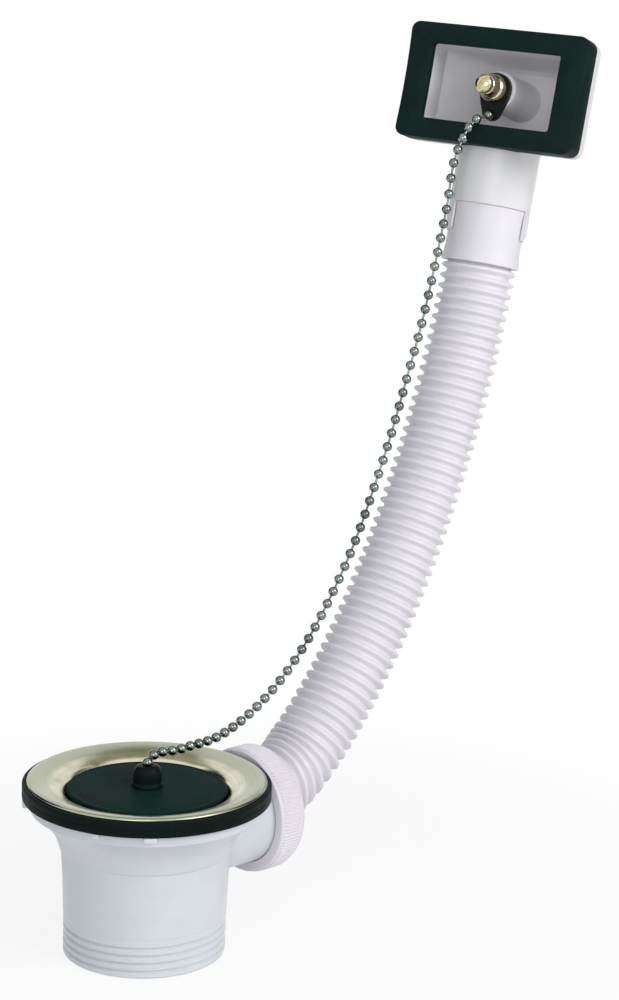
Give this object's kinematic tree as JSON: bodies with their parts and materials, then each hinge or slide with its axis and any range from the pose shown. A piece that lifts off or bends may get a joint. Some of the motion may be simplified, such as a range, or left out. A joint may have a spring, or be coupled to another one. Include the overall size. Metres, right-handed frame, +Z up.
{
  "type": "sink waste with overflow",
  "caption": "Sink waste with a steel grid flange, rubber plug on a ball chain, threaded outlet, and a ribbed overflow hose up to a rectangular wall fitting.",
  "frame": {"origin": "centre of the outlet pipe's end face, on the waste's axis", "axes": "+Z up along the waste's axis from the outlet towards the flange, +X along the side branch towards the overflow hose"},
  "size_m": [0.1981, 0.0726, 0.2715],
  "materials": {
    "steel": "pressed, satin",
    "steel_screw": "turned",
    "brass_insert": "plain",
    "washer_rubber": "matt",
    "white_polymer": "smooth, slightly translucent",
    "plug_rubber": "matt",
    "knob_rubber": "satin",
    "chain_chrome": "polished",
    "stay_plastic": "satin",
    "nickel": "nickel plated brass",
    "gasket_rubber": "matt",
    "head_polymer": "smooth, slightly translucent",
    "cuff_polymer": "smooth",
    "hose_polymer": "smooth, flexible",
    "tail_polymer": "smooth, flexible",
    "nut_polymer": "smooth"
  },
  "bodies": {
    "root": {"flange": "steel", "flange_screw": "steel_screw", "insert_nut": "brass_insert", "upper_washer": "washer_rubber", "lower_washer": "washer_rubber", "waste_body": "white_polymer", "plug": "plug_rubber", "plug_knob": "knob_rubber", "ball_chain": "chain_chrome", "chain_stay": "stay_plastic", "overflow_screw": "nickel", "screw_collar": "nickel", "overflow_gasket": "gasket_rubber", "overflow_head": "head_polymer", "boss_insert": "brass_insert", "upper_cuff": "cuff_polymer", "hose": "hose_polymer", "hose_tail": "tail_polymer", "branch_seal": "washer_rubber", "collar_nut": "nut_polymer"}
  },
  "joints": []
}
